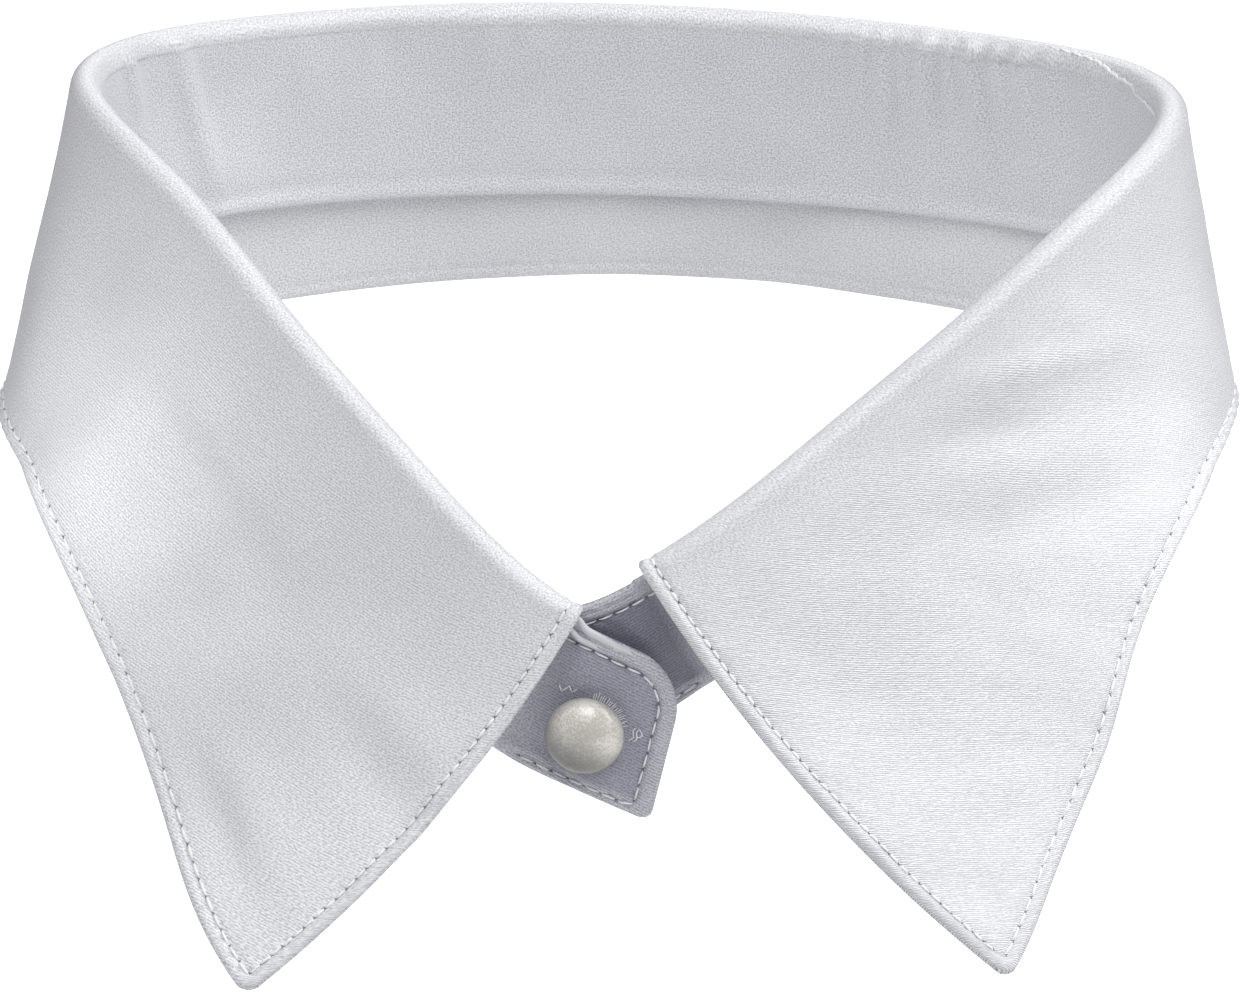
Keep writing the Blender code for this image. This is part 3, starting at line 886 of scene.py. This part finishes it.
def cloth_layer(tree, name):
    """The coordinates of one layer, as a vector and its two parts."""
    layer = tree.nodes.new("ShaderNodeUVMap")
    layer.uv_map = name
    first, second, _ = parts_of(tree, layer.outputs["UV"])
    return layer.outputs["UV"], first, second


def cloth_material(name, colour, shade, roughness, rib_share, tab_shade_tones=()):
    """Satin-faced cotton: fine broken ribs, uneven yarns and a soft sheen, with painted shade on the tabs
    when tones for them are given.
    """
    material, tree, shader = new_material(name)
    cloth, along, _ = cloth_layer(tree, "cloth")
    _, from_edge, rib_weight = cloth_layer(tree, "edges")
    ribs = tree.nodes.new("ShaderNodeTexWave")
    ribs.wave_type = "BANDS"
    ribs.bands_direction = "Y"
    set_inputs(ribs, Scale=0.8, Distortion=3.2, Detail=2.0, Detail_Scale=2.6)
    tree.links.new(cloth, ribs.inputs["Vector"])
    yarn = noise(tree, cloth, 4.2, roughness=0.7)
    # The ribs show more in some places than in others.
    patch = ranged(tree, noise(tree, cloth, 0.12), (0.35, 0.65), (rib_share * 0.6, rib_share))
    fading = ranged(tree, rib_weight, (0.0, 1.0), (0.06, 1.0))
    weave = mixed(tree, "FLOAT", product(tree, patch, fading), yarn, ribs.outputs["Fac"])
    raised = ranged(tree, weave, (0.38, 0.60), (0.0, 1.0))
    tone = mixed(tree, "RGBA", raised, shade, colour)
    cloud = ranged(tree, noise(tree, cloth, 0.07, detail=4.0), (0.35, 0.65), (1.0, 0.0))
    shown = mixed(tree, "RGBA", cloud, tone, (0.95, 0.95, 0.955, 1.0), "MULTIPLY")
    # Painted shade: the tabs' satin is darkened inside their stitching, the under tab more than the over
    # tab, for the shade the tabs lie in; their rolled edges are darkened less.
    reaches = ((LEFT_END + 3.0, LEFT_END - 1.0), (RIGHT_END - 3.0, RIGHT_END + 1.0))
    for reach, tab_shade_tone in zip(reaches, tab_shade_tones):
        inside = ranged(tree, from_edge, (1.7, 2.5), (0.45, 1.0))
        share = product(tree, ranged(tree, along, reach, (0.0, 1.0)), inside)
        shown = mixed(tree, "RGBA", share, shown, tab_shade_tone, "MULTIPLY")
    tree.links.new(shown, shader.inputs["Base Color"])
    relief = tree.nodes.new("ShaderNodeBump")
    set_inputs(relief, Strength=0.9, Distance=0.00012)
    tree.links.new(weave, relief.inputs["Height"])
    tree.links.new(relief.outputs["Normal"], shader.inputs["Normal"])
    set_inputs(shader, Roughness=roughness, Specular_IOR_Level=0.6, Sheen_Weight=0.12,
               Sheen_Roughness=0.4, Sheen_Tint=(0.95, 0.96, 1.0, 1.0))
    return material


def speckled_material(name, scale, tones, places, **inputs):
    """A plain material whose colour wavers between two tones."""
    material, tree, shader = new_material(name)
    tone = two_tones(tree, noise(tree, own_place(tree), scale), *tones, places)
    tree.links.new(tone, shader.inputs["Base Color"])
    set_inputs(shader, **inputs)
    return material


def pearl_material():
    """A warm grey pearl: cloudy, with a faint speckle and a clear coat; a painted highlight brightens its
    upper part and painted shade darkens its underside and its rim.
    """
    material, tree, shader = new_material("pearl_button")
    place = own_place(tree)
    cloud = noise(tree, place, 260.0, detail=4.0)
    grain = noise(tree, place, 3600.0)
    speckle = mixed(tree, "FLOAT", 0.5, cloud, grain)
    tone = two_tones(tree, speckle, (0.50, 0.48, 0.44, 1.0), (0.72, 0.70, 0.65, 1.0), (0.42, 0.58))
    # The button's own Y runs down the band, its Z out of the cloth.
    _, down, outward = parts_of(tree, place)
    # Painted light: the colour is brightened above the button's middle as a painted highlight and darkened
    # toward its lower side as painted shade; the next ramp is painted shade toward the rim by the cloth.
    lower = ranged(tree, down, (-0.0028, 0.0048), (1.30, 0.26), "SMOOTHSTEP")
    rim = ranged(tree, outward, (0.0020, 0.0046), (0.50, 1.0), "SMOOTHSTEP")
    body = mixed(tree, "RGBA", 1.0, tone, product(tree, lower, rim), "MULTIPLY")
    tree.links.new(body, shader.inputs["Base Color"])
    set_inputs(shader, Roughness=0.34, Specular_IOR_Level=0.6, Coat_Weight=1.0, Coat_Roughness=0.16)
    return material


# The pieces

leaf_cotton = cloth_material(
    "leaf_satin_cotton", (0.96, 0.96, 0.975, 1.0), (0.56, 0.565, 0.62, 1.0), 0.33, 0.50)
leaf, leaf_grid = make_leaf(leaf_cotton)
# The stand's cloth, with painted shade on the over tab and darker painted shade on the under tab.
stand = make_stand(cloth_material(
    "stand_satin_cotton", (0.96, 0.96, 0.985, 1.0), (0.51, 0.515, 0.58, 1.0), 0.38, 0.22,
    tab_shade_tones=((0.53, 0.53, 0.61, 1.0), (0.33, 0.33, 0.40, 1.0))))
thread = speckled_material(
    "sewing_thread", 3500.0, ((0.90, 0.90, 0.92, 1.0), (1.0, 1.0, 1.0, 1.0)), (0.3, 0.7),
    Roughness=0.5, Sheen_Weight=0.3)
# Painted shadow: the needle holes' shapes are dark to stand in for the shade inside the holes.
hole = speckled_material(
    "needle_hole_shadow", 4000.0, ((0.10, 0.10, 0.12, 1.0), (0.30, 0.30, 0.34, 1.0)), (0.0, 1.0),
    Roughness=0.9)


def sewn_line(name, lines, lift, radius, hole_size):
    """A row of stitches on each line of points, and its needle holes on the face that shows most."""
    stitches = []
    marks = []
    for (path, outward), pitch, seed, shows in lines:
        runs, gaps = stitch_runs(path, outward, seed, pitch, lift, radius)
        stitches += runs
        if shows:
            marks += gaps
    sewing = thread_object(name + "_topstitching", stitches, thread)
    return sewing, needle_holes(name + "_needle_holes", marks, hole_size, hole)


leaf_runs = []
for number, (line, pitch) in enumerate(leaf_thread_lines(*leaf_grid)):
    leaf_runs.append((line, pitch, 21 + number, True))
leaf_stitching, leaf_holes = sewn_line("leaf", leaf_runs, 0.06, 0.20, 0.40)
tab_runs = []
for end in (TAB_END, BAND_END):
    places, depths = tab_line(end, TAB_STITCH_INSET)
    for side in (1.0, -1.0):
        tab_runs.append((stand_face(places, depths, side), TAB_PITCH, 31, side > 0))
tab_stitching, tab_holes = sewn_line("tab", tab_runs, -0.02, 0.145, 0.26)


def button_frame():
    at = np.array(TAB_END + BUTTON_FROM_TAB_END)
    depth = np.array(BUTTON_BELOW_TOP)
    place = stand_surface(at, depth)
    _, along, down, out = section(at)
    outward = turned(down, out, BAND["lean"](at) + 90.0)
    along = unit(along - (along @ outward) * outward)
    return place, along, np.cross(outward, along), outward


# The close stitches round the buttonhole's eye: first and last angle and the step between them, and
# how far in and out each one reaches from the button's middle. The stitches on its lips, along the
# band in the same way, and where its two bars lie.
EYE_ANGLES = (78.0, 150.0, 3.6)
EYE_REACH = (3.8, 5.3)
LIP_PLACES = (-4.6, 4.6, 0.42)
BAR_PLACES = (-5.6, -6.1)


def buttonhole_threads():
    """The buttonhole's sewing: close stitches above the button, loose loops, a bar and its two lips."""
    place, along, down, outward = button_frame()
    state = np.random.RandomState(41)
    runs = []

    def lay(points, radius, rise):
        """A thread through points given along the band and down it from the button's middle."""
        points = np.array(points, float)
        share = np.linspace(0.0, 1.0, len(points))
        arch = WALL / 2.0 + 0.04 + rise * np.sin(math.pi * share)
        path = place + along * points[:, :1] + down * points[:, 1:] + outward * arch[:, None]
        runs.append((path, np.repeat(outward[None], len(points), 0), radius))

    # Seen from the front the band's length runs to the photo's left, so these angles turn from there.
    for angle in np.arange(*EYE_ANGLES):
        turn = math.radians(angle + state.uniform(-1.0, 1.0))
        inner = EYE_REACH[0] + state.uniform(-0.15, 0.15)
        outer = EYE_REACH[1] + state.uniform(-0.3, 0.3)
        reach = np.linspace(inner, outer, 6)
        lay([(math.cos(turn) * r, -math.sin(turn) * r) for r in reach], 0.07, 0.08)
    zigzag = [(1.9 + 0.62 * step, -5.0 + 0.22 * step + (0.45 if step % 2 else -0.45)) for step in range(7)]
    for first, second in zip(zigzag, zigzag[1:]):
        lay(np.linspace(first, second, 7), 0.08, 0.12)
    share = np.linspace(0.0, 1.0, 9)
    for bar in BAR_PLACES:
        lay([(bar + 0.2 * math.sin(7.0 * f), -3.2 + 2.0 * f) for f in share], 0.09, 0.16)
    lay([(-6.0 - 0.7 * math.sin(math.pi * f), -3.2 + 1.3 * f) for f in share], 0.08, 0.16)
    for lip in (-1.0, 1.0):
        for run in np.arange(*LIP_PLACES):
            reach = np.linspace(0.35, 1.5 + state.uniform(-0.2, 0.2), 6)
            lay([(run + 0.2 * r, lip * r) for r in reach], 0.11, 0.16)
    return runs


hole_stitching = thread_object("buttonhole_stitching", buttonhole_threads(), thread)


# The two piped rolls of the over tab where they climb to the leaf's end: past that end, depth, rise.
ROLL_END_PIPES = (
    ((-11.0, 1.5, 0.25), (-8.5, 0.85, 0.42), (-5.5, 0.6, 0.46), (-3.5, 0.4, 0.62), (-1.6, 0.1, 0.95),
     (-0.4, -0.7, 1.35), (0.7, -1.5, 1.70)),
    ((-10.5, 2.3, 0.15), (-8.0, 1.85, 0.30), (-5.5, 1.75, 0.38), (-3.0, 1.7, 0.62), (-1.2, 1.5, 1.10),
     (-0.1, 0.8, 1.75), (1.0, -0.1, 2.30)),
)


def roll_end_pipes():
    """Two small rolls of cloth where the left roll's end is caught over the tab's top edge."""
    runs = []
    for pipe, radius in zip(ROLL_END_PIPES, (0.58, 0.46)):
        pipe = np.array(pipe)
        steps = np.linspace(0.0, len(pipe) - 1.0, 44)
        past, depth, rise = [natural_spline(np.arange(len(pipe)), pipe[:, i])(steps) for i in range(3)]
        top, _, down, out = section(LEFT_END + past)
        runs.append((top + down * depth[:, None] + out * rise[:, None], out, radius))
    return runs


pipes = thread_object("roll_end_pipes", roll_end_pipes(), leaf_cotton)


def seam_ridge():
    """The fine uneven fold along the leaf's seam, lying on the roll and then on the stand."""
    places = [PLACE[name] + past for name, past, _ in SEAM_RIDGE]
    around = natural_spline(places, [share for _, _, share in SEAM_RIDGE])
    at = np.linspace(places[0], places[-1], 260)
    share = around(at)
    step = 0.02
    on_roll = leaf_surface(at, share)
    ahead = leaf_surface(at + step, share) - on_roll
    outward = unit(np.cross(ahead, leaf_surface(at, share + step) - on_roll))
    on_stand, facing = stand_face(at, np.clip(-share, 0.0, None), -1.0)
    path = on_roll + outward * WALL / 2.0
    path = np.where((share < 0.0)[:, None], on_stand, path)
    outward = np.where((share < 0.0)[:, None], facing, outward)
    wave = 0.10 * np.sin(at * 2.9) + 0.06 * np.sin(at * 6.1)
    path = path + np.array([0.0, 0.0, 1.0]) * wave[:, None]
    return [(path, outward, 0.26)]


ridge = thread_object("seam_ridge", seam_ridge(), thread)


def make_button(material):
    """The pearl dome: a domed top that rolls under to a flat back with a shank."""
    place, along, down, outward = button_frame()
    radius = BUTTON_DIAMETER / 2.0
    seat = WALL / 2.0 + BUTTON_SEAT
    rim = seat + BUTTON_RIM
    outline = []
    for angle in np.linspace(0.0, math.pi / 2.0, 22):
        outline.append((radius * math.sin(angle), rim + (BUTTON_DOME - BUTTON_RIM) * math.cos(angle)))
    for angle in np.linspace(0.0, math.pi / 2.0, 10)[1:]:
        inward = BUTTON_UNDERCUT * (1.0 - math.cos(angle))
        outline.append((radius - inward, seat + BUTTON_RIM * (1.0 - math.sin(angle))))
    outline += [(2.2, seat), (1.1, seat - 0.1), (SHANK_RADIUS, seat - 0.3)]
    outline += [(SHANK_RADIUS, SHANK_FOOT), (0.0, SHANK_FOOT)]
    mesh = bpy.data.meshes.new("pearl_button")
    edges = [(i, i + 1) for i in range(len(outline) - 1)]
    mesh.from_pydata([(r * MM, 0.0, h * MM) for r, h in outline], edges, [])
    piece = add_piece("pearl_button", mesh, material)
    spin = piece.modifiers.new("turned", "SCREW")
    spin.steps = spin.render_steps = BUTTON_SIDES
    spin.use_merge_vertices = True
    spin.merge_threshold = 0.00001
    spin.use_smooth_shade = True
    turn = Matrix((along, down, outward)).transposed().to_4x4()
    piece.matrix_world = Matrix.Translation(Vector(place) * MM) @ turn
    return piece


button = make_button(pearl_material())

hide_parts("collar_leaf")
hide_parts("collar_stand")
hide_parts("button")
SLOTS = {
    "leaf_cloth": (leaf, leaf_stitching, leaf_holes, pipes, ridge),
    "stand_cloth": (stand, tab_stitching, tab_holes, hole_stitching),
    "pearl": (button,),
}
for slot, pieces in SLOTS.items():
    for piece in pieces:
        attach(piece, "root")


# The studio

def make_stage():
    """A white floor that reads as plain white in the picture; its glow is for the camera alone."""
    bpy.ops.mesh.primitive_plane_add(size=40.0, location=(0.0, 0.0, -0.30))
    floor = bpy.context.object
    floor.name = "studio_floor"
    material, tree, shader = new_material("studio_floor")
    set_inputs(shader, Base_Color=(0.95, 0.95, 0.95, 1.0), Roughness=0.9,
               Emission_Color=(1.0, 1.0, 1.0, 1.0))
    path = tree.nodes.new("ShaderNodeLightPath")
    tree.links.new(path.outputs["Is Camera Ray"], shader.inputs["Emission Strength"])
    floor.data.materials.append(material)


def area_light(name, position, size, power, aim=(0.0, 0.0, 0.0)):
    light = bpy.data.lights.new(name, "AREA")
    light.shape = "RECTANGLE"
    light.size = size
    light.size_y = size
    light.energy = power
    lamp = bpy.data.objects.new(name, light)
    lamp.location = position
    lamp.rotation_euler = (Vector(aim) - Vector(position)).to_track_quat("-Z", "Y").to_euler()
    lamp.visible_camera = False
    scene.collection.objects.link(lamp)


make_stage()
world = bpy.data.worlds.new("studio")
world.use_nodes = True
set_inputs(world.node_tree.nodes["Background"], Color=(0.96, 0.97, 1.0, 1.0), Strength=0.03)
scene.world = world
# The lamps: place, side in metres and power. All of them face the collar's middle.
SOFTBOX = 0.8
LAMPS = (
    ("left_top_softbox", (-1.0, -0.2, 0.8), SOFTBOX, 4.9),
    ("right_top_softbox", (1.0, -0.2, 0.8), SOFTBOX, 8.0),
    ("front_top_softbox", (0.0, -0.8, 1.0), SOFTBOX, 7.0),
    ("back_fill", (0.0, 1.2, 0.6), SOFTBOX, 3.0),
    ("left_front_fill", (-1.0, -1.0, 0.4), SOFTBOX, 1.1),
    ("right_front_fill", (1.0, -1.0, 0.4), SOFTBOX, 1.6),
)
for lamp in LAMPS:
    area_light(*lamp)
# Small white cards outside the picture brighten the hem at both sides: place, share and power.
HEM_CARD = 0.024
HEM_CARD_DISTANCE = 24.0
HEM_CARDS = (
    ("left_hem_card", PLACE["left_throat"] + 5.0, 1.85, 0.0027),
    ("right_hem_card", PLACE["right_neck"] + 8.0, 1.88, 0.0018),
)
for name, at, share, power in HEM_CARDS:
    place, aside, below = leaf_surface(np.array([at, at + 0.5, at]), np.array([share, share, share + 0.02]))
    away = place + unit(np.cross(aside - place, below - place)) * HEM_CARD_DISTANCE
    area_light(name, tuple(away * MM), HEM_CARD, power, tuple(place * MM))
area_light("overhead_glint", (0.53, 0.26, 1.04), 0.45, 4.5)

# The photo's camera: how far off it stands and how high it aims, in metres, its tilt in degrees, and
# the photo's width and scale in pixels.
CAMERA_DISTANCE = 0.8
CAMERA_AIM = -0.0288
CAMERA_TILT = 20.0
PHOTO_WIDTH = 1240.0
PIXELS_PER_MM = 7.4
camera_data = bpy.data.cameras.new("photo_camera")
camera_data.sensor_width = 36.0
camera_data.sensor_fit = "HORIZONTAL"
camera_data.lens = PIXELS_PER_MM * CAMERA_DISTANCE / MM * camera_data.sensor_width / PHOTO_WIDTH
camera_data.clip_start = 0.05
camera = bpy.data.objects.new("photo_camera", camera_data)
scene.collection.objects.link(camera)
tilt = math.radians(CAMERA_TILT)
forward = Vector((0.0, math.cos(tilt), -math.sin(tilt)))
camera.location = Vector((0.0, 0.0, CAMERA_AIM)) - CAMERA_DISTANCE * forward
camera.rotation_euler = forward.to_track_quat("-Z", "Y").to_euler()
scene.camera = camera
scene.view_settings.view_transform = "Standard"
